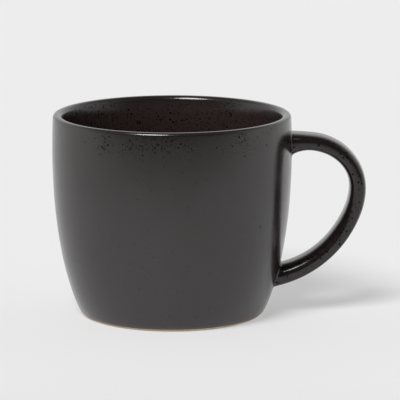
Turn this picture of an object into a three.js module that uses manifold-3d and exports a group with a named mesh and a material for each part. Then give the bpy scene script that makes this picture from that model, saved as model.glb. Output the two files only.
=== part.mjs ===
// A stoneware coffee mug, built the way a potter builds it: a clay cup with a turned foot, a clay strap
// handle stuck on with two beads of slip, and coats of glass-hard glaze that stop short of the bare foot.
// Millimetres, +Z up. The origin is the centre of the foot, on the surface the mug stands on, and the
// handle points to +X.
import * as THREE from 'three';
import { mergeVertices } from 'three/addons/utils/BufferGeometryUtils.js';
import Module from 'manifold-3d';

const wasm = await Module();
wasm.setup();

// ---- driving dimensions ----------------------------------------------------------------------------
const HEIGHT = 86;
const TURN_STEPS = 48;                 // facets round every turned piece
const WALL_STEPS = 10;                 // facets up the outside and down the inside of the wall

// Outside of the glazed wall, in (radius, height): one curve from the foot up to the rim's shoulder.
const WALL_FOOT = [38.5, 0];
const WALL_FOOT_PULL = [40.7, 1.6];
const WALL_RIM_PULL = [53.3, 29.3];
const RIM_RADIUS = 50.6;
const SHOULDER_ROUND = 1.45;           // rounding of the rim's outer edge
const RIM_THICKNESS = 4.1;
const RIM_INNER_ROUND = 2.1;           // rounding of the rim's inner edge

// Inside of the glazed wall: a lip that flares towards the rim, a neck, then the bowl down to the floor.
const LIP_FLARE = Math.PI / 15;        // lean of the lip where it meets the rim's rounding
const LIP_PULL = 5.5;                  // how far the lip keeps that lean
const NECK_PULL = [45.6, 75];
const NECK = [45.8, 71];
const BOWL_PULL = [47.9, 40];
const FLOOR_PULL = [40, 6];
const FLOOR_FLAT_RADIUS = 28;
const FLOOR_HEIGHT = 6;

const GLAZE = 0.4;                     // thickness of the glaze coat
const BOND_GAP = 0.05;                 // keeps the glaze and the clay apart as solids
const CUT_GAP = 0.3;                   // keeps a piece clear of the neighbour that it is cut by

// The foot is bare clay: a bevel up to the edge of the glaze, a flat ring, and a shallow glazed recess.
const BARE_HEIGHT = 0.9;
const FOOT_OUTER_RADIUS = 38.3;
const FOOT_INNER_RADIUS = 34;
const RECESS_RADIUS = 33.2;
const RECESS_HEIGHT = 0.8;             // underside of the glaze in the recess
const BASE_GLAZE_RADIUS = 32.8;

// Centre line of the handle, in (x, z): up and over to its furthest point, then down and back in.
const HANDLE_TOP = [47, 72.6];
const HANDLE_TOP_PULL = [65.3, 78.4];
const HANDLE_OVER_PULL = [79, 67.4];
const HANDLE_FURTHEST = [79, 54.5];
const HANDLE_UNDER_PULL = [79, 40];
const HANDLE_BOTTOM_PULL = [65.7, 18.4];
const HANDLE_BOTTOM = [40, 15.1];
const HANDLE_WIDTH = 16;
const HANDLE_THICK_TOP = 7;
const HANDLE_THICK_BACK = 7.4;
const HANDLE_THICK_BOTTOM = 8.8;
const HANDLE_FLARE = 4.8;              // extra thickness at the very start of the upper end,
const HANDLE_FLARE_REACH = 13;         // which fades out over this length
const HANDLE_SQUARENESS = 3.2;         // power of the strap's section: 2 is an ellipse, more is boxier
const HANDLE_LEAN = 0.18;              // how flat the lower half is outside, as a share of thickness,
const HANDLE_LEAN_BACK = 0.7;          // and how much of that goes to the middle of the section
const HANDLE_STEPS = 22;
const STRAP_SIDES = 16;

// The slip that holds each end of the handle: a pad under the end and a bead swept round it.
const SLIP_PAD = 0.8;
const SLIP_REACH = 2;                  // how far the bead runs out along the handle
const SLIP_SPREAD = 1.2;               // how far the bead spreads over the cup's wall
const SLIP_LIP = 0.5;                  // thickness of the bead where it ends on the handle
const SLIP_BURIED = 2.5;               // how far inside the wall its uncut sleeve starts
const SLIP_STEPS = 5;

// ---- materials -------------------------------------------------------------------------------------
const glazeFinish = { color: 0x474443, roughness: 0.42, metalness: 0 };
const clayFinish = { color: 0xa8917c, roughness: 0.9, metalness: 0 };
const slipFinish = { color: 0x3b3735, roughness: 0.45, metalness: 0 };

// ---- turned pieces ---------------------------------------------------------------------------------
// The wall's surface as curves: outside, shoulder, crest, inner edge, lip, bowl, floor.
function wallCurves() {
  const v = (p) => new THREE.Vector2(p[0], p[1]);
  const shoulderStart = [RIM_RADIUS, HEIGHT - SHOULDER_ROUND];
  const crestStart = [RIM_RADIUS - SHOULDER_ROUND, HEIGHT];
  const crestEnd = [RIM_RADIUS - RIM_THICKNESS + RIM_INNER_ROUND, HEIGHT];
  const quarter = Math.PI / 2;
  const innerRound = arc(crestEnd[0], HEIGHT - RIM_INNER_ROUND, RIM_INNER_ROUND, quarter, Math.PI - LIP_FLARE);
  const lipStart = innerRound.getPoint(1);
  const lipPull = new THREE.Vector2(-Math.sin(LIP_FLARE), -Math.cos(LIP_FLARE)).multiplyScalar(LIP_PULL);
  return [
    {
      steps: WALL_STEPS,
      curve: new THREE.CubicBezierCurve(v(WALL_FOOT), v(WALL_FOOT_PULL), v(WALL_RIM_PULL), v(shoulderStart)),
    },
    { steps: 3, curve: arc(crestStart[0], shoulderStart[1], SHOULDER_ROUND, 0, quarter) },
    { steps: 1, curve: new THREE.LineCurve(v(crestStart), v(crestEnd)) },
    { steps: 3, curve: innerRound },
    { steps: 3, curve: new THREE.CubicBezierCurve(lipStart, lipPull.add(lipStart), v(NECK_PULL), v(NECK)) },
    {
      steps: WALL_STEPS,
      curve: new THREE.CubicBezierCurve(
        v(NECK), v(BOWL_PULL), v(FLOOR_PULL), v([FLOOR_FLAT_RADIUS, FLOOR_HEIGHT])),
    },
    { steps: 1, curve: new THREE.LineCurve(v([FLOOR_FLAT_RADIUS, FLOOR_HEIGHT]), v([0, FLOOR_HEIGHT])) },
  ];
}

function arc(x, y, radius, start, end) {
  return new THREE.EllipseCurve(x, y, radius, radius, start, end, false);
}

// Points along the wall's surface, moved `inset` into the clay and starting at height `bottom`.
function wallProfile(inset, bottom) {
  const points = [];
  for (const [index, { steps, curve }] of wallCurves().entries()) {
    const first = index === 0 ? paramAtHeight(curve, bottom, inset) : 0;
    for (let i = index === 0 ? 0 : 1; i <= steps; i += 1) {
      points.push(insetPoint(curve, first + (1 - first) * (i / steps), inset));
    }
  }
  points.at(-1).x = 0;
  return points;
}

// The clay lies to the left of the direction in which the curves run.
function insetPoint(curve, t, inset) {
  const point = curve.getPoint(t);
  const along = curve.getTangent(t);
  return new THREE.Vector2(point.x - along.y * inset, point.y + along.x * inset);
}

function paramAtHeight(curve, height, inset) {
  let low = 0;
  let high = 1;
  for (let i = 0; i < 40; i += 1) {
    const middle = (low + high) / 2;
    if (insetPoint(curve, middle, inset).y < height) low = middle;
    else high = middle;
  }
  return high;
}

// Turns a profile of (radius, height) points round the Z axis.
function turned(points) {
  const geometry = new THREE.LatheGeometry(points, TURN_STEPS);
  geometry.rotateX(Math.PI / 2);
  return welded(geometry);
}

function welded(geometry) {
  geometry.deleteAttribute('normal');
  geometry.deleteAttribute('uv');
  return toGeometry(toSolid(mergeVertices(geometry, 1e-4)));
}

function cupBodyGeometry() {
  const v = (r, z) => new THREE.Vector2(r, z);
  const underside = RECESS_HEIGHT + GLAZE + BOND_GAP;
  const foot = [v(0, underside), v(RECESS_RADIUS, underside), v(FOOT_INNER_RADIUS, 0), v(FOOT_OUTER_RADIUS, 0)];
  return turned([...foot, ...wallProfile(GLAZE + BOND_GAP, BARE_HEIGHT)]);
}

function cupGlazeGeometry() {
  const outside = wallProfile(0, BARE_HEIGHT);
  const inside = wallProfile(GLAZE, BARE_HEIGHT);
  return turned([...inside.reverse(), ...outside]);
}

function baseGlazeGeometry() {
  const v = (r, z) => new THREE.Vector2(r, z);
  const top = RECESS_HEIGHT + GLAZE;
  return turned([v(0, RECESS_HEIGHT), v(BASE_GLAZE_RADIUS, RECESS_HEIGHT), v(BASE_GLAZE_RADIUS, top), v(0, top)]);
}

// Everything inside the wall's outer surface, as a solid block: what cuts the handle and its slip to fit.
function cupBlock(outset) {
  const { curve } = wallCurves()[0];
  const points = [new THREE.Vector2(0, -1), new THREE.Vector2(WALL_FOOT[0] + outset, -1)];
  for (let i = 0; i <= WALL_STEPS; i += 1) {
    points.push(insetPoint(curve, i / WALL_STEPS, -outset));
  }
  points.push(new THREE.Vector2(0, points.at(-1).y));
  return turned(points);
}

// ---- the handle ------------------------------------------------------------------------------------
function handleCurves() {
  const v = (p) => new THREE.Vector2(p[0], p[1]);
  const over = new THREE.CubicBezierCurve(
    v(HANDLE_TOP), v(HANDLE_TOP_PULL), v(HANDLE_OVER_PULL), v(HANDLE_FURTHEST));
  const under = new THREE.CubicBezierCurve(
    v(HANDLE_FURTHEST), v(HANDLE_UNDER_PULL), v(HANDLE_BOTTOM_PULL), v(HANDLE_BOTTOM));
  const path = new THREE.CurvePath();
  path.add(over);
  path.add(under);
  return path;
}

// Thickness at u = 0 (upper end) to 1 (lower end): thin over the top, fuller down the back and at the
// lower end, with a flare at the very start.
function strapThickness(u, length) {
  const back = THREE.MathUtils.smoothstep(u, 0.3, 0.5) * (HANDLE_THICK_BACK - HANDLE_THICK_TOP);
  const low = Math.max(0, (u - 0.65) / 0.35) ** 2 * (HANDLE_THICK_BOTTOM - HANDLE_THICK_BACK);
  const flare = HANDLE_FLARE * Math.max(0, 1 - (u * length) / HANDLE_FLARE_REACH) ** 2;
  return HANDLE_THICK_TOP + back + low + flare;
}

// How far the middle of the section bulges outwards: the lower half is flatter outside, fuller inside.
function strapLean(u, thickness) {
  return HANDLE_LEAN * thickness * THREE.MathUtils.smoothstep(u, 0.45, 0.65);
}

// One ring of the strap at u, grown by `grow` on every side.
function strapRing(path, u, grow) {
  const centre = path.getPointAt(u);
  const along = path.getTangentAt(u);
  const thickness = strapThickness(u, path.getLength());
  const lean = strapLean(u, thickness);
  const halfWide = HANDLE_WIDTH / 2 + grow;
  const ring = [];
  for (let side = 0; side < STRAP_SIDES; side += 1) {
    const angle = (2 * Math.PI * side) / STRAP_SIDES;
    const outward = superCosine(Math.cos(angle));
    const out = (thickness / 2 + grow) * outward + lean * (HANDLE_LEAN_BACK - outward ** 2);
    const across = halfWide * superCosine(Math.sin(angle));
    ring.push(new THREE.Vector3(centre.x - along.y * out, across, centre.y + along.x * out));
  }
  return ring;
}

function superCosine(c) {
  return Math.sign(c) * Math.abs(c) ** (2 / HANDLE_SQUARENESS);
}

// Skins a row of rings into one closed solid with a flat cap at each end.
function skinned(rings) {
  const sides = rings[0].length;
  const positions = rings.flat().flatMap((p) => [p.x, p.y, p.z]);
  const index = [];
  for (let i = 0; i + 1 < rings.length; i += 1) {
    for (let j = 0; j < sides; j += 1) {
      const a = i * sides + j;
      const b = i * sides + ((j + 1) % sides);
      index.push(a, b + sides, b, a, a + sides, b + sides);
    }
  }
  const last = (rings.length - 1) * sides;
  for (let j = 1; j + 1 < sides; j += 1) {
    index.push(0, j, j + 1);
    index.push(last, last + j + 1, last + j);
  }
  const geometry = new THREE.BufferGeometry();
  geometry.setAttribute('position', new THREE.Float32BufferAttribute(positions, 3));
  geometry.setIndex(index);
  return toGeometry(toSolid(geometry));
}

function strap(grow) {
  const path = handleCurves();
  const rings = [];
  for (let i = 0; i <= HANDLE_STEPS; i += 1) rings.push(strapRing(path, i / HANDLE_STEPS, grow));
  return skinned(rings);
}

function handleGeometry() {
  return cut(strap(-GLAZE - BOND_GAP), cupBlock(SLIP_PAD));
}

function handleGlazeGeometry() {
  return cut(cut(strap(0), strap(-GLAZE)), cupBlock(SLIP_PAD));
}

// One slip, before it is cut to fit: a sleeve round the strap that starts SLIP_BURIED inside the wall, is
// widest at the wall, and thins to its lip SLIP_REACH out along the handle. `grow` makes it bigger all round.
function slipBlock(upper, grow) {
  const path = handleCurves();
  const length = path.getLength();
  const wallAt = wallCrossing(path, upper);
  const buried = SLIP_BURIED / length;
  const reach = (SLIP_REACH + grow) / length;
  const inward = upper ? -1 : 1;
  const rings = [strapRing(path, wallAt + inward * buried, SLIP_SPREAD + grow)];
  for (let i = 0; i <= SLIP_STEPS; i += 1) {
    const away = i / SLIP_STEPS;
    const flare = SLIP_LIP + (SLIP_SPREAD - SLIP_LIP) * (1 - away) ** 2;
    rings.push(strapRing(path, wallAt - inward * away * reach, flare + grow));
  }
  if (!upper) rings.reverse();
  return skinned(rings);
}

// Where the handle's centre line crosses the cup's outer surface, as a share of its length.
function wallCrossing(path, upper) {
  const { curve } = wallCurves()[0];
  let inside = upper ? 0 : 1;
  let outside = 0.5;
  for (let i = 0; i < 40; i += 1) {
    const middle = (inside + outside) / 2;
    const point = path.getPointAt(middle);
    const wall = insetPoint(curve, paramAtHeight(curve, point.y, 0), 0);
    if (point.x < wall.x) inside = middle;
    else outside = middle;
  }
  return outside;
}

function slipGeometry(upper) {
  const clear = cut(slipBlock(upper, 0), cupBlock(CUT_GAP - GLAZE));
  return cut(clear, cut(strap(CUT_GAP), cupBlock(SLIP_PAD - CUT_GAP)));
}

// ---- solids ----------------------------------------------------------------------------------------
function toSolid(geometry) {
  const mesh = new wasm.Mesh({
    numProp: 3,
    vertProperties: new Float32Array(geometry.attributes.position.array),
    triVerts: new Uint32Array(geometry.index.array),
  });
  return new wasm.Manifold(mesh);
}

function toGeometry(solid) {
  const { vertProperties, triVerts } = solid.getMesh();
  const geometry = new THREE.BufferGeometry();
  geometry.setAttribute('position', new THREE.BufferAttribute(vertProperties, 3));
  geometry.setIndex(new THREE.BufferAttribute(triVerts, 1));
  geometry.computeVertexNormals();
  return geometry;
}

function cut(geometry, cutter) {
  return toGeometry(toSolid(geometry).subtract(toSolid(cutter)));
}

// ---- the mug ---------------------------------------------------------------------------------------
const mug = new THREE.Group();

function addPiece(name, geometry, finish) {
  const piece = new THREE.Mesh(geometry, new THREE.MeshStandardMaterial(finish));
  piece.name = name;
  mug.add(piece);
}

const glazeWithHoles = cut(cut(cupGlazeGeometry(), slipBlock(true, CUT_GAP)), slipBlock(false, CUT_GAP));

addPiece('cup_body', cupBodyGeometry(), clayFinish);
addPiece('cup_glaze', glazeWithHoles, glazeFinish);
addPiece('base_glaze', baseGlazeGeometry(), glazeFinish);
addPiece('handle', handleGeometry(), clayFinish);
addPiece('handle_glaze', handleGlazeGeometry(), glazeFinish);
addPiece('upper_handle_slip', slipGeometry(true), slipFinish);
addPiece('lower_handle_slip', slipGeometry(false), slipFinish);

export default mug;
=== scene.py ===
"""A charcoal stoneware mug on a pale studio floor.

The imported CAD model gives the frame. Its clay cup, its glaze coats and its beads of slip are replaced by
finely turned or swept meshes of the same shape, with the glaze's own unevenness. The clay core of the handle
is carried over. Every piece has a procedural glaze or clay material. The mug's lengths are written in
millimetres and turned into metres by MM. The stage, the camera and the materials' patterns are in metres.
"""
import math

import bpy
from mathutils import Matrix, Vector, noise


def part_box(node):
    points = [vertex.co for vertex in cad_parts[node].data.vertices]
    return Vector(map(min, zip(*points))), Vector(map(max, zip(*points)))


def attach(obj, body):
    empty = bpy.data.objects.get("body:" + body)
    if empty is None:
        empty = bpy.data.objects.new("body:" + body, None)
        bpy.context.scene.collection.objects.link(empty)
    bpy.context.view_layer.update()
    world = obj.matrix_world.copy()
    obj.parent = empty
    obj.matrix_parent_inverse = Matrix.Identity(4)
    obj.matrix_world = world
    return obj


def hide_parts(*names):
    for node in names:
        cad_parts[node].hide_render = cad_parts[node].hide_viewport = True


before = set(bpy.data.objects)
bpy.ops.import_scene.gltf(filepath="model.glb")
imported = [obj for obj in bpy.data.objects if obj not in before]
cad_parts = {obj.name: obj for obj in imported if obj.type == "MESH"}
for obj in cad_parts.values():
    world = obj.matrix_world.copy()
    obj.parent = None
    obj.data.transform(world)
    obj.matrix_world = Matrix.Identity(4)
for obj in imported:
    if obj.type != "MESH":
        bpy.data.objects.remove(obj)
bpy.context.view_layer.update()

# ---- the mug's driving dimensions, in millimetres ------------------------------------------------------
HEIGHT = 86.0
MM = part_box("cup_glaze")[1].z / HEIGHT

# The cup's profile, in (radius, height).
WALL_CURVE = ((38.5, 0), (40.7, 1.6), (53.3, 29.3), (50.6, 84.55))
SHOULDER_ROUND = 1.45                  # the rim's outer edge
RIM_RADIUS = 50.6
RIM_THICKNESS = 4.1
RIM_INNER_ROUND = 2.1                  # the rim's inner edge
LIP_FLARE = math.pi / 15               # how far the inside leans in where it leaves the rim
LIP_PULL = 5.5                         # and how strongly the lip's curve follows that
NECK_PULL = (45.6, 75)
BOWL_CURVE = ((45.8, 71), (47.9, 40), (40, 6), (28, 6))
GLAZE = 0.4
BOND_GAP = 0.05                        # between a glaze coat and its clay
BARE_HEIGHT = 0.9                      # the clay is bare below this
FOOT_OUTER_RADIUS = 38.3
FOOT_INNER_RADIUS = 34.0
FOOT_EASE_OUT = 0.35                   # the foot's outer edge is worn by this much
FOOT_EASE_IN = 0.2                     # its inner edge by this much
FOOT_EASE_UP = 0.12                    # and both of them by this much upward
FOOT_SLOPE = (0.3, 0.5)                # the outside of the foot then runs out and up by this
RECESS_RADIUS = 33.2
RECESS_HEIGHT = 0.8
RECESS_SLOPE = (0.35, 0.5)             # the recess's corner runs out and down by this
BASE_GLAZE_RADIUS = 32.8
BASE_GLAZE_RINGS = (0, 8, 16, 24, 30)

# The handle's centre line, in (distance from the cup's axis, height), and its section.
HANDLE_OVER = ((47, 72.6), (65.3, 78.4), (79, 67.4), (79, 54.5))
HANDLE_UNDER = ((79, 54.5), (79, 40), (65.7, 18.4), (40, 15.1))
HANDLE_WIDTH = 16.0
HANDLE_THICK_TOP = 7.0
HANDLE_THICK_BACK = 7.4
HANDLE_THICK_BOTTOM = 8.8
HANDLE_FLARE = 4.8                     # how much thicker the upper end is
HANDLE_FLARE_REACH = 13.0              # and how far along the strap that runs out
HANDLE_SQUARENESS = 3.2                # 2 is an ellipse, and more is a flatter strap
HANDLE_LEAN = 0.18                     # how far the section bows, as a share of its thickness
HANDLE_LEAN_BACK = 0.7                 # the share of the bow by which its widest line moves outward
# Places along the strap, as shares of its length.
BACK_FROM, BACK_FULL = 0.3, 0.5        # where it swells to the back's thickness
LOW_FROM = 0.65                        # where it starts to swell to the bottom's
LEAN_FROM, LEAN_FULL = 0.45, 0.65      # where it starts to bow, and is bowed fully
STRAP_START, STRAP_END = 0.015, 0.985  # the glaze coat's ends, inside the cup's wall

TURN_STEPS = 210
ON_AXIS = 1e-6                         # a radius below this is on the axis
SHARP_EDGE = math.radians(50)          # an edge that bends by more is drawn as a sharp one
BODY = "root"


# ---- curves --------------------------------------------------------------------------------------------
def bezier(points, t):
    """Point and unit tangent of a cubic curve at t."""
    a, b, c, d = (Vector(p) for p in points)
    s = 1 - t
    point = a * s**3 + b * (3 * s * s * t) + c * (3 * s * t * t) + d * t**3
    along = (b - a) * (3 * s * s) + (c - b) * (6 * s * t) + (d - c) * (3 * t * t)
    return point, along.normalized()


def arc(centre, radius, start, end, t):
    """Point and unit tangent of an arc that runs from angle start to angle end, anticlockwise."""
    angle = start + (end - start) * t
    out = Vector((math.cos(angle), math.sin(angle)))
    return Vector(centre) + out * radius, Vector((-out.y, out.x))


def line(start, end, t):
    a, b = Vector(start), Vector(end)
    return a.lerp(b, t), (b - a).normalized()


def smoothstep(x, low, high):
    t = min(max((x - low) / (high - low), 0), 1)
    return t * t * (3 - 2 * t)


HALVINGS = 40


def root(low, high, below):
    """Where below(x) stops being true, between low and high."""
    for _ in range(HALVINGS):
        middle = (low + high) / 2
        if below(middle):
            low = middle
        else:
            high = middle
    return high


# ---- the wall's profile, in (radius, height) ------------------------------------------------------------
SHOULDER_CENTRE = (RIM_RADIUS - SHOULDER_ROUND, HEIGHT - SHOULDER_ROUND)
INNER_CENTRE = (RIM_RADIUS - RIM_THICKNESS + RIM_INNER_ROUND, HEIGHT - RIM_INNER_ROUND)
CREST = ((SHOULDER_CENTRE[0], HEIGHT), (INNER_CENTRE[0], HEIGHT))
QUARTER = math.pi / 2
LIP_START, LIP_LEAN = arc(INNER_CENTRE, RIM_INNER_ROUND, QUARTER, math.pi - LIP_FLARE, 1)
LIP_CURVE = (LIP_START, LIP_START + LIP_LEAN * LIP_PULL, NECK_PULL, BOWL_CURVE[0])
FLOOR_EDGE = BOWL_CURVE[3]
# Each stretch: its steps, and its point and tangent for t from 0 to 1.
WALL_PARTS = (
    (90, lambda t: bezier(WALL_CURVE, t)),
    (12, lambda t: arc(SHOULDER_CENTRE, SHOULDER_ROUND, 0, QUARTER, t)),
    (1, lambda t: line(*CREST, t)),
    (12, lambda t: arc(INNER_CENTRE, RIM_INNER_ROUND, QUARTER, math.pi - LIP_FLARE, t)),
    (24, lambda t: bezier(LIP_CURVE, t)),
    (70, lambda t: bezier(BOWL_CURVE, t)),
    (18, lambda t: line(FLOOR_EDGE, (0, FLOOR_EDGE[1]), t)),
)
RIM_PARTS = 4                          # the stretches that come before the inside


def inset_point(part, t, inset):
    """A point of the wall moved inset into the clay, which lies left of the way the profile runs."""
    point, along = part(t)
    return Vector((point.x - along.y * inset, point.y + along.x * inset))


def wall_profile(inset, bottom):
    """The wall from height bottom up the outside, over the rim, and down the inside to the axis."""
    outside = WALL_PARTS[0][1]
    first = root(0, 1, lambda t: inset_point(outside, t, inset).y < bottom)
    points = []
    for index, (steps, part) in enumerate(WALL_PARTS):
        start = first if index == 0 else 0
        for i in range(0 if index == 0 else 1, steps + 1):
            points.append(inset_point(part, start + (1 - start) * i / steps, inset))
    points[-1].x = 0
    return points


def outer_radius(height):
    """Radius of the glazed wall's outside at a height."""
    outside = WALL_PARTS[0][1]
    return outside(root(0, 1, lambda t: outside(t)[0].y < height))[0].x


# ---- mesh making ---------------------------------------------------------------------------------------
def mesh_object(name, points, faces):
    """A closed mesh with points in millimetres, placed in the row frame."""
    mesh = bpy.data.meshes.new(name)
    mesh.from_pydata([tuple(p * MM for p in point) for point in points], [], faces)
    mesh.validate()
    mesh.polygons.foreach_set("use_smooth", [True] * len(mesh.polygons))
    mesh.set_sharp_from_angle(angle=SHARP_EDGE)
    mesh.update()
    piece = bpy.data.objects.new(name, mesh)
    bpy.context.scene.collection.objects.link(piece)
    return piece


def turned(name, profile, relief=None):
    """Turns a profile that starts and ends on the axis round Z. relief(point, index) moves a point."""
    points, faces, rings = [], [], []
    for index, p in enumerate(profile):
        on_axis = p.x < ON_AXIS
        ring = []
        for j in range(1 if on_axis else TURN_STEPS):
            angle = 2 * math.pi * j / TURN_STEPS
            point = Vector((p.x * math.cos(angle), p.x * math.sin(angle), p.y))
            ring.append(len(points))
            points.append(relief(point, index) if relief and not on_axis else point)
        rings.append(ring)
    for low, high in zip(rings, rings[1:]):
        for j in range(TURN_STEPS):
            k = (j + 1) % TURN_STEPS
            if len(low) == 1:
                faces.append((low[0], high[k], high[j]))
            elif len(high) == 1:
                faces.append((low[j], low[k], high[0]))
            else:
                faces.append((low[j], low[k], high[k], high[j]))
    return mesh_object(name, points, faces)


def skinned(name, rings, ring_shut=False):
    """Skins a row of rings of points into one closed solid, capped at both ends or shut into a loop."""
    sides = len(rings[0])
    points = [p for ring in rings for p in ring]
    faces = []
    rows = len(rings)
    for i in range(rows if ring_shut else rows - 1):
        for j in range(sides):
            k = (j + 1) % sides
            a, b = i * sides, ((i + 1) % rows) * sides
            faces.append((a + j, b + j, b + k, a + k))
    if not ring_shut:
        faces.append(tuple(range(sides)))
        last = (rows - 1) * sides
        faces.append(tuple(last + j for j in reversed(range(sides))))
    return mesh_object(name, points, faces)


# ---- the cup -------------------------------------------------------------------------------------------
UNEVEN = 0.07                          # how far the glaze's surface wanders, at most
UNEVEN_SIZES = ((0.045, 0.6), (0.14, 0.4))  # (waves per millimetre, share)
EVEN_RIM = 3.0                         # the outside is even this far down from the rim
EVEN_FADE = 6.0                        # and wanders fully this much further down
NARROW = 47.5                          # where the surface is nearer the axis than this, as inside,
NARROW_SHARE = 0.6                     # it wanders by this share
EDGE_STEPS = 8                         # round a glaze coat's rounded edge
EDGE_BESIDE = 4                        # rings on each side of the cup's edge that sway with it
EDGE_SWAY = 0.22                       # how far that edge sways up, at most
EDGE_WAVES = 0.11                      # waves of that per millimetre
INNER_FADE = 9.0                       # the colouring of the inside is full this far below the rim


def uneven(point):
    """How far a glazed surface dips at a point: 0 to UNEVEN."""
    total = 0
    for size, share in UNEVEN_SIZES:
        total += share * (0.5 + 0.5 * noise.noise(point * size))
    return UNEVEN * min(max(total, 0), 1)


def glazed_cup():
    """The glaze coat of the cup: a skin over the outside, rim and inside, ending in a rounded edge."""
    outside = wall_profile(0, BARE_HEIGHT + GLAZE / 2)
    inside = wall_profile(GLAZE, BARE_HEIGHT + GLAZE / 2)
    inside.reverse()
    edge_centre = (outside[0] + inside[-1]) / 2
    edge = []
    for i in range(1, EDGE_STEPS):
        angle = math.pi - math.pi * i / EDGE_STEPS
        across = (outside[0] - inside[-1]) / 2
        down = Vector((0, -across.length * math.sin(angle)))
        edge.append(edge_centre + across * math.cos(angle) + down)
    profile = inside + edge + outside
    first_outside = len(inside) + len(edge)

    def relief(point, index):
        flat = Vector((point.x, point.y, 0))
        moved = point.copy()
        if index >= first_outside:
            fade = min(1, max(0, (HEIGHT - EVEN_RIM - point.z) / EVEN_FADE))
            share = fade if flat.length > NARROW else NARROW_SHARE
            moved -= flat.normalized() * uneven(point) * share
        if len(inside) - EDGE_BESIDE <= index < first_outside + EDGE_BESIDE:
            near = 1 - abs(index - first_outside + EDGE_BESIDE - 1) / (2 * EDGE_BESIDE)
            moved.z += EDGE_SWAY * max(near, 0) * (0.5 + 0.5 * noise.noise(flat * EDGE_WAVES))
        return moved

    cup = turned("glazed_cup", profile, relief)
    inner = cup.data.attributes.new("inner", "FLOAT", "POINT")
    wall_inside = first_outside + sum(steps for steps, _ in WALL_PARTS[:RIM_PARTS])
    marks = []
    for index, p in enumerate(profile):
        depth = min(max((HEIGHT - p.y) / INNER_FADE, 0), 1) if index > wall_inside else 0
        marks += [depth] * (1 if p.x < ON_AXIS else TURN_STEPS)
    inner.data.foreach_set("value", marks)
    return cup


def clay_cup():
    """The clay under the glaze, bare at the foot."""
    underside = RECESS_HEIGHT + GLAZE + BOND_GAP
    foot = [
        Vector((0, underside)),
        Vector((RECESS_RADIUS, underside)),
        Vector((RECESS_RADIUS + RECESS_SLOPE[0], underside - RECESS_SLOPE[1])),
        Vector((FOOT_INNER_RADIUS - FOOT_EASE_IN, FOOT_EASE_UP)),
        Vector((FOOT_INNER_RADIUS, 0)),
        Vector((FOOT_OUTER_RADIUS - FOOT_EASE_OUT, 0)),
        Vector((FOOT_OUTER_RADIUS, FOOT_EASE_UP)),
        Vector((FOOT_OUTER_RADIUS + FOOT_SLOPE[0], FOOT_SLOPE[1])),
    ]
    return turned("clay_cup", foot + wall_profile(GLAZE + BOND_GAP, BARE_HEIGHT))


def underside_glaze():
    """The disc of glaze in the recess of the foot, with a rounded edge."""
    top = RECESS_HEIGHT + GLAZE
    edge_round = GLAZE / 2
    edge_centre = Vector((BASE_GLAZE_RADIUS - edge_round, top - edge_round))
    round_edge = []
    for i in range(EDGE_STEPS + 1):
        angle = math.pi * i / EDGE_STEPS
        round_edge.append(edge_centre + Vector((math.sin(angle), -math.cos(angle))) * edge_round)
    flat = [Vector((radius, RECESS_HEIGHT)) for radius in BASE_GLAZE_RINGS]
    return turned("underside_glaze", flat + round_edge + [Vector((0, top))])


# ---- the handle ----------------------------------------------------------------------------------------
class CentreLine:
    """The handle's centre line, measured along its length: at(u) gives point and tangent in (x, z)."""

    STEPS = 400

    def __init__(self, curves):
        self.curves = curves
        self.marks = [0.0]
        previous = self._at(0)[0]
        for i in range(1, self.STEPS + 1):
            point = self._at(i / self.STEPS)[0]
            self.marks.append(self.marks[-1] + (point - previous).length)
            previous = point
        self.length = self.marks[-1]

    def _at(self, t):
        count = len(self.curves)
        index = min(int(t * count), count - 1)
        return bezier(self.curves[index], t * count - index)

    def at(self, u):
        target = u * self.length
        high = next((i for i, mark in enumerate(self.marks) if mark >= target), self.STEPS)
        high = max(high, 1)
        low_mark, high_mark = self.marks[high - 1], self.marks[high]
        share = (target - low_mark) / (high_mark - low_mark)
        return self._at((high - 1 + share) / self.STEPS)


HANDLE = CentreLine((HANDLE_OVER, HANDLE_UNDER))


def strap_thickness(u):
    """Thin over the top, fuller down the back and at the lower end, with a flare at the very start."""
    back = smoothstep(u, BACK_FROM, BACK_FULL) * (HANDLE_THICK_BACK - HANDLE_THICK_TOP)
    low = max(0, (u - LOW_FROM) / (1 - LOW_FROM)) ** 2 * (HANDLE_THICK_BOTTOM - HANDLE_THICK_BACK)
    flare = HANDLE_FLARE * max(0, 1 - u * HANDLE.length / HANDLE_FLARE_REACH) ** 2
    return HANDLE_THICK_TOP + back + low + flare


def super_cosine(c):
    return math.copysign(abs(c) ** (2 / HANDLE_SQUARENESS), c)


def strap_point(u, angle, grow=0.0):
    """A point of the strap's surface. Angle 0 is on its outer face, away from the loop, and 90 degrees +Y."""
    centre, along = HANDLE.at(u)
    thickness = strap_thickness(u)
    outward = super_cosine(math.cos(angle))
    lean = HANDLE_LEAN * thickness * smoothstep(u, LEAN_FROM, LEAN_FULL)
    out = (thickness / 2 + grow) * outward + lean * (HANDLE_LEAN_BACK - outward**2)
    across = (HANDLE_WIDTH / 2 + grow) * super_cosine(math.sin(angle))
    return Vector((centre.x - along.y * out, across, centre.y + along.x * out))


STRAP_SIDES = 72
STRAP_STEPS = 200
SKIN_INSET = 0.02                      # how far the glaze lies inside the plain solid, at least
UNEVEN_SHIFT = Vector((7, 3, 5))       # keeps the handle's unevenness apart from the cup's


def glazed_handle():
    """The glazed strap. Its ends run on into the cup's wall."""
    rings = []
    for i in range(STRAP_STEPS + 1):
        u = STRAP_START + (STRAP_END - STRAP_START) * i / STRAP_STEPS
        ring = []
        for j in range(STRAP_SIDES):
            angle = 2 * math.pi * j / STRAP_SIDES
            surface = strap_point(u, angle)
            ring.append(strap_point(u, angle, -SKIN_INSET - uneven(surface + UNEVEN_SHIFT)))
        rings.append(ring)
    return skinned("glazed_handle", rings)


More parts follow.
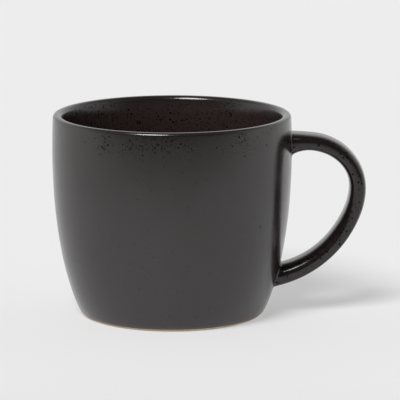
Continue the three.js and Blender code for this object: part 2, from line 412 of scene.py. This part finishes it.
BEAD_SIDES = 96
BEAD_STEPS = 10
BEAD_REACH = 0.9                       # how far a bead reaches up the strap and along the wall,
BEAD_FULLER = 0.7                      # and how much more on the loop's side
BEAD_SUNK = 0.5                        # how deep its back lies in the strap and in the wall
END_SHARE = 0.2                        # the strap meets the wall within this share of its length
WELL_INSIDE = 2.0                      # a depth in the strap from which its surface is clearly outward


def outside_wall(point):
    """How far a point is outside the cup's outer surface, measured level."""
    return math.hypot(point.x, point.y) - outer_radius(point.z)


def onto_wall(point, depth=0.0):
    """The point moved level onto the cup's outer surface, or to a depth in it."""
    radius = outer_radius(point.z) - depth
    scale = radius / math.hypot(point.x, point.y)
    return Vector((point.x * scale, point.y * scale, point.z))


def slip_bead(name, upper):
    """The bead of slip round one end of the handle, a hollow fillet from the strap to the wall."""
    outward = 1 if upper else -1
    near, far = (0.0, END_SHARE) if upper else (1.0, 1 - END_SHARE)
    rings = [[] for _ in range(BEAD_STEPS + 3)]
    for j in range(BEAD_SIDES):
        angle = 2 * math.pi * j / BEAD_SIDES
        crossing = root(near, far, lambda u: outside_wall(strap_point(u, angle)) < 0)
        corner = strap_point(crossing, angle)
        under = 0.5 - 0.5 * math.cos(angle)
        reach = BEAD_REACH + BEAD_FULLER * under
        up_strap = crossing + outward * reach / HANDLE.length
        on_strap = strap_point(up_strap, angle)
        away = (corner - strap_point(crossing, angle, -WELL_INSIDE)).normalized()
        on_wall = onto_wall(corner + away * reach)
        rings[0].append(strap_point(up_strap, angle, -BEAD_SUNK))
        for i in range(BEAD_STEPS + 1):
            t = i / BEAD_STEPS
            curve = on_strap * (1 - t) ** 2 + corner * (2 * t * (1 - t)) + on_wall * t * t
            rings[i + 1].append(curve)
        rings[-1].append(onto_wall(corner + away * reach, BEAD_SUNK))
    return skinned(name, rings, ring_shut=True)


# ---- materials -----------------------------------------------------------------------------------------
class Nodes:
    """Short calls for building a material's node tree."""

    def __init__(self, name):
        self.material = bpy.data.materials.new(name)
        self.material.use_nodes = True
        self.tree = self.material.node_tree
        self.tree.nodes.clear()
        self.output = self.tree.nodes.new("ShaderNodeOutputMaterial")
        self.shader = self.tree.nodes.new("ShaderNodeBsdfPrincipled")
        self.tree.links.new(self.shader.outputs[0], self.output.inputs[0])
        self.place = self.tree.nodes.new("ShaderNodeTexCoord").outputs["Object"]

    def link(self, source, target):
        self.tree.links.new(source, target)

    def put(self, socket, value):
        if isinstance(value, bpy.types.NodeSocket):
            self.link(value, socket)
        else:
            socket.default_value = value

    def attribute(self, name):
        node = self.tree.nodes.new("ShaderNodeAttribute")
        node.attribute_name = name
        return node.outputs["Fac"]

    def noise(self, scale, detail=3.0, roughness=0.55):
        node = self.tree.nodes.new("ShaderNodeTexNoise")
        self.link(self.place, node.inputs["Vector"])
        node.inputs["Scale"].default_value = scale
        node.inputs["Detail"].default_value = detail
        node.inputs["Roughness"].default_value = roughness
        return node.outputs["Fac"]

    def cells(self, scale):
        """Distance to the nearest point of a scatter, and that point's random colour."""
        node = self.tree.nodes.new("ShaderNodeTexVoronoi")
        self.link(self.place, node.inputs["Vector"])
        node.inputs["Scale"].default_value = scale
        return node.outputs["Distance"], node.outputs["Color"]

    def math(self, operation, a, b=0.0, clamp=False):
        node = self.tree.nodes.new("ShaderNodeMath")
        node.operation = operation
        node.use_clamp = clamp
        self.put(node.inputs[0], a)
        self.put(node.inputs[1], b)
        return node.outputs[0]

    def ramp(self, value, low, high, start=0.0, end=1.0):
        """Maps low..high smoothly to start..end."""
        node = self.tree.nodes.new("ShaderNodeMapRange")
        node.interpolation_type = "SMOOTHSTEP"
        self.put(node.inputs["Value"], value)
        for key, number in (("From Min", low), ("From Max", high), ("To Min", start), ("To Max", end)):
            self.put(node.inputs[key], number)
        return node.outputs["Result"]

    def mix(self, factor, a, b):
        node = self.tree.nodes.new("ShaderNodeMix")
        node.data_type = "RGBA"
        self.put(node.inputs["Factor"], factor)
        self.put(node.inputs["A"], a)
        self.put(node.inputs["B"], b)
        return node.outputs["Result"]

    def bump(self, height, distance):
        node = self.tree.nodes.new("ShaderNodeBump")
        node.inputs["Strength"].default_value = 1.0
        node.inputs["Distance"].default_value = distance
        self.link(height, node.inputs["Height"])
        return node.outputs["Normal"]

    def split(self, vector):
        node = self.tree.nodes.new("ShaderNodeSeparateXYZ")
        self.link(vector, node.inputs[0])
        return node.outputs

    def set(self, **inputs):
        for key, value in inputs.items():
            self.put(self.shader.inputs[key.replace("_", " ")], value)


def rgb(r, g, b):
    return (r, g, b, 1.0)


CHARCOAL = rgb(0.0140, 0.0100, 0.0090)     # the glaze high on the cup, darkened there by painted shade
LOW_GLAZE_PAINTED_REFLECTION = rgb(0.0250, 0.0190, 0.0210)          # and low on it, paler by a painted reflection of the floor
UMBER = rgb(0.0170, 0.0105, 0.0080)        # where it turns brown
COCOA = rgb(0.0400, 0.0260, 0.0245)        # inside the cup
SOOT = rgb(0.0095, 0.0055, 0.0050)         # where it pools thick, as on the handle
PITCH_BLACK = rgb(0.0035, 0.0030, 0.0028)  # specks
BREAK_BROWN = rgb(0.0750, 0.0480, 0.0330)  # where it runs thin over its lower edge
THIN_REACH = 1.6                       # and how far up it is thin there, in millimetres

# How fine each pattern of the glaze is, in waves or cells per metre.
CLOUDS = 26
BROWN_PATCHES = 18
SPECK_CLUSTERS = 55
COARSE_CELLS = 760
FINE_CELLS = 1500
SATIN_PATCHES = 90
ORANGE_PEEL = 1100
SATIN = (0.17, 0.22)                   # the glaze's roughness, from its smoothest patches to its roughest
PEEL_DEPTH = 0.000012                  # of the orange peel, in metres
PEEL_DEEPER = 0.00012                  # and how much deeper it is, for each unit of gloss
# The share of the cells that have a speck.
CLUSTER_SPECKS = 0.80                  # in the clusters under the rim
INSIDE_SPECKS = 0.14                   # inside the cup
INSIDE_FINE_SPECKS = 0.45
STRAY_SPECKS = 0.003                   # all over
STRAY_FINE_SPECKS = 0.02
FINE_PER_COARSE = 1.5                  # fine specks crowd where the coarse ones do
COARSE_RADIUS = 0.40                   # the largest speck's radius, as a share of its cell
FINE_RADIUS = 0.42
FINE_STRENGTH = 0.8
IRON = 0.9                             # how metallic a coarse speck is
# The band under the rim that has clusters of specks, as shares of the height: it comes in, and ends.
BAND_FROM, BAND_FULL = 0.86, 0.95
BAND_FADES, BAND_ENDS = 0.975, 0.990


def glaze_material(name, soot=0.0, gloss=0.0, specks=0.0, ior=1.62):
    """Satin charcoal glaze: cloudy, browner inside, with black specks of iron and a faint orange peel. It is
    darker high on the cup and paler low on it by painted light, a painted reflection of the floor.

    soot is the share of SOOT in its colour, gloss is taken off its roughness, and specks is added to the
    share of the cells that have a speck.
    """
    n = Nodes(name)
    height = n.math("DIVIDE", n.split(n.place)["Z"], HEIGHT * MM)
    inner = n.attribute("inner")
    # painted light: the colour is darker high on the cup and paler low on it, a painted reflection of the
    # floor
    high = n.math("MAXIMUM", n.ramp(height, 0.15, 0.95), inner)
    clouds = n.ramp(n.noise(CLOUDS, 4), 0.30, 0.70, -0.25, 0.25)
    colour = n.mix(n.math("ADD", high, clouds, clamp=True), LOW_GLAZE_PAINTED_REFLECTION, CHARCOAL)
    brown = n.ramp(n.noise(BROWN_PATCHES, 3, 0.6), 0.48, 0.70, 0.0, 0.4)
    colour = n.mix(brown, colour, UMBER)
    colour = n.mix(inner, colour, COCOA)
    colour = n.mix(soot, colour, SOOT)
    thin = n.ramp(height, BARE_HEIGHT / HEIGHT, (BARE_HEIGHT + THIN_REACH) / HEIGHT, 0.85, 0.0)
    colour = n.mix(thin, colour, BREAK_BROWN)

    clusters = n.ramp(n.noise(SPECK_CLUSTERS, 3, 0.6), 0.46, 0.58)
    fades = n.ramp(height, BAND_ENDS, BAND_FADES)
    band = n.math("MULTIPLY", n.ramp(height, BAND_FROM, BAND_FULL), fades)
    near_rim = n.math("MULTIPLY", band, clusters)
    in_clusters = n.math("MULTIPLY", near_rim, CLUSTER_SPECKS)
    density = n.math("ADD", in_clusters, n.math("MULTIPLY", inner, INSIDE_SPECKS))
    density = n.math("ADD", density, STRAY_SPECKS + specks)
    coarse = speck_layer(n, COARSE_CELLS, density, COARSE_RADIUS)
    fine_inside = n.math("MULTIPLY", inner, INSIDE_FINE_SPECKS)
    fine_density = n.math("ADD", n.math("MULTIPLY", density, FINE_PER_COARSE), fine_inside)
    fine = speck_layer(n, FINE_CELLS, n.math("ADD", fine_density, STRAY_FINE_SPECKS), FINE_RADIUS)
    dark = n.math("MAXIMUM", coarse, n.math("MULTIPLY", fine, FINE_STRENGTH))
    colour = n.mix(dark, colour, PITCH_BLACK)

    rough = n.ramp(n.noise(SATIN_PATCHES, 4), 0.3, 0.7, SATIN[0] - gloss, SATIN[1] - gloss)
    n.set(Base_Color=colour, Roughness=rough, Metallic=n.math("MULTIPLY", dark, IRON), IOR=ior)
    n.set(Normal=n.bump(n.noise(ORANGE_PEEL, 2, 0.6), PEEL_DEPTH + PEEL_DEEPER * gloss))
    return n.material


def speck_layer(n, scale, density, size):
    """1 inside scattered specks. A share of the cells, density, has one, and size is the largest's radius."""
    distance, colour = n.cells(scale)
    parts = n.split(colour)
    present = n.math("LESS_THAN", parts["X"], density)
    radius = n.math("MULTIPLY", n.ramp(parts["Y"], 0, 1, 0.45, 1.0), size)
    inside = n.ramp(n.math("DIVIDE", distance, radius), 0.75, 1.1, 1.0, 0.0)
    return n.math("MULTIPLY", inside, present)


TOASTED_CLAY = rgb(0.52, 0.41, 0.31)
PALE_CLAY = rgb(0.62, 0.51, 0.40)
GRIT_BROWN = rgb(0.12, 0.075, 0.05)
# How fine each pattern of the clay is, in waves or cells per metre.
CLAY_TONES = 70
GRIT_PATCHES = 40
GRIT_CELLS = 1500
CLAY_DRYNESS = 500
CLAY_TOOTH = 1800
CLAY_TOOTH_DEPTH = 0.00005             # in metres


def clay_material(name):
    """Bare fired stoneware: tan, slightly toasted, dry and gritty."""
    n = Nodes(name)
    tone = n.ramp(n.noise(CLAY_TONES, 4), 0.3, 0.7)
    colour = n.mix(tone, TOASTED_CLAY, PALE_CLAY)
    grit = speck_layer(n, GRIT_CELLS, n.ramp(n.noise(GRIT_PATCHES), 0.3, 0.7, 0.1, 0.35), 0.3)
    colour = n.mix(n.math("MULTIPLY", grit, 0.7), colour, GRIT_BROWN)
    n.set(Base_Color=colour, Roughness=n.ramp(n.noise(CLAY_DRYNESS), 0.3, 0.7, 0.78, 0.95), IOR=1.45)
    n.set(Normal=n.bump(n.noise(CLAY_TOOTH, 3, 0.7), CLAY_TOOTH_DEPTH))
    return n.material


# ---- the stage -----------------------------------------------------------------------------------------
TABLE_REACH = 6.0                      # the table runs on this far behind and beside the mug, in metres
TABLE_FRONT = 0.90                     # and this far in front of it
FLOOR_COLOUR = rgb(0.50, 0.50, 0.50)
FLOOR_ROUGHNESS = 0.9
FLOOR_PAINTED_LIGHT = 0.385                     # painted light: the table glows, standing in for studio light that fills the mug's shadows
PAINTED_LIGHT_FROM, PAINTED_LIGHT_FULL = -0.62, -0.08    # from front to back, where it starts to glow and glows fully


def floor():
    """A pale table, whose front edge is out of view in front of the mug, with a glow of painted light that
    fades toward the front.
    """
    mesh = bpy.data.meshes.new("floor")
    left, right, front, back = -TABLE_REACH, TABLE_REACH, -TABLE_FRONT, TABLE_REACH
    corners = [(left, front, 0), (right, front, 0), (right, back, 0), (left, back, 0)]
    mesh.from_pydata(corners, [], [(0, 1, 2, 3)])
    piece = bpy.data.objects.new("floor", mesh)
    bpy.context.scene.collection.objects.link(piece)
    n = Nodes("floor_paper")
    n.set(Base_Color=FLOOR_COLOUR, Roughness=FLOOR_ROUGHNESS)
    # painted light: the floor's glow fills the mug's shadows and fades toward the front like studio light
    # falling off
    painted_light = n.ramp(n.split(n.place)["Y"], PAINTED_LIGHT_FROM, PAINTED_LIGHT_FULL, 0.0, FLOOR_PAINTED_LIGHT)
    n.set(Emission_Color=rgb(1, 1, 1), Emission_Strength=painted_light)
    mesh.materials.append(n.material)


KEY_AZIMUTH = math.radians(26)         # round to the left from straight in front
KEY_ELEVATION = math.radians(52)
KEY_WIDTH = math.radians(25)           # how wide the softbox looks from the mug
KEY_POWER = 2.4


def key_light():
    """A large softbox, in front to the left and above."""
    light = bpy.data.lights.new("key", "SUN")
    light.energy = KEY_POWER
    light.angle = KEY_WIDTH
    piece = bpy.data.objects.new("key", light)
    piece.rotation_euler = (math.pi / 2 - KEY_ELEVATION, 0, -KEY_AZIMUTH)
    bpy.context.scene.collection.objects.link(piece)


def world_ramp(tree, value, low, high):
    """Rises smoothly from 0 to 1 as the value goes from low to high."""
    node = tree.nodes.new("ShaderNodeMapRange")
    node.interpolation_type = "SMOOTHSTEP"
    tree.links.new(value, node.inputs["Value"])
    node.inputs["From Min"].default_value = low
    node.inputs["From Max"].default_value = high
    return node.outputs["Result"]


ROOM_DIM = 0.085
ROOM_PALE = 0.83
# Parts of a direction in the room, from -1 to 1: Y runs from front to back, and Z from down to up.
BEHIND_FROM, BEHIND_FULL = -0.75, 0.15
OVERHEAD_FULL, OVERHEAD_FROM = 0.95, 0.35


def room():
    """Pale walls behind and beside the mug, and a dim room in front of it and overhead."""
    world = bpy.data.worlds.new("studio")
    bpy.context.scene.world = world
    world.use_nodes = True
    tree = world.node_tree
    direction = tree.nodes.new("ShaderNodeSeparateXYZ")
    tree.links.new(tree.nodes.new("ShaderNodeTexCoord").outputs["Generated"], direction.inputs[0])
    behind = world_ramp(tree, direction.outputs["Y"], BEHIND_FROM, BEHIND_FULL)
    low = world_ramp(tree, direction.outputs["Z"], OVERHEAD_FULL, OVERHEAD_FROM)
    pale = tree.nodes.new("ShaderNodeMath")
    pale.operation = "MULTIPLY"
    tree.links.new(behind, pale.inputs[0])
    tree.links.new(low, pale.inputs[1])
    strength = tree.nodes.new("ShaderNodeMapRange")
    tree.links.new(pale.outputs[0], strength.inputs["Value"])
    strength.inputs["To Min"].default_value = ROOM_DIM
    strength.inputs["To Max"].default_value = ROOM_PALE
    tree.links.new(strength.outputs["Result"], tree.nodes["Background"].inputs["Strength"])
    tree.nodes["Background"].inputs["Color"].default_value = rgb(1, 1, 1)


def studio():
    room()
    key_light()
    bpy.context.scene.view_settings.view_transform = "Standard"


CAMERA_PITCH = math.radians(11.05)
CAMERA_PLACE = (0.01188, -1.2508, 0.2928)
CAMERA_LENS = 268.7                    # millimetres, on a sensor this wide:
CAMERA_SENSOR = 36


def camera():
    """In front of the mug and a little above it, at product-photo distance, with a long lens."""
    data = bpy.data.cameras.new("camera")
    data.lens = CAMERA_LENS
    data.sensor_width = CAMERA_SENSOR
    piece = bpy.data.objects.new("camera", data)
    piece.location = CAMERA_PLACE
    piece.rotation_euler = (math.pi / 2 - CAMERA_PITCH, 0, 0)
    bpy.context.scene.collection.objects.link(piece)
    bpy.context.scene.camera = piece


# ---- putting it together -------------------------------------------------------------------------------
def place(piece, material, node):
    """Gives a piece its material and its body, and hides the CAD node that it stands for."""
    piece.data.materials.append(material)
    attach(piece, BODY)
    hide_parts(node)


def build():
    camera()
    cup_glaze = glaze_material("cup_glaze_satin")
    handle_glaze = glaze_material("handle_glaze_gloss", soot=0.85, gloss=0.05, specks=0.42, ior=1.57)
    base_glaze = glaze_material("base_glaze_satin")
    slip_glaze = glaze_material("slip_glaze_gloss", soot=0.6, gloss=0.04, specks=0.40, ior=1.57)
    clay = clay_material("stoneware_clay")
    place(glazed_cup(), cup_glaze, "cup_glaze")
    place(clay_cup(), clay, "cup_body")
    place(underside_glaze(), base_glaze, "base_glaze")
    place(glazed_handle(), handle_glaze, "handle_glaze")
    place(slip_bead("upper_slip_bead", True), slip_glaze, "upper_handle_slip")
    place(slip_bead("lower_slip_bead", False), slip_glaze, "lower_handle_slip")
    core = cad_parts["handle"]
    core.data.materials.clear()
    core.data.materials.append(clay)
    floor()
    studio()


build()
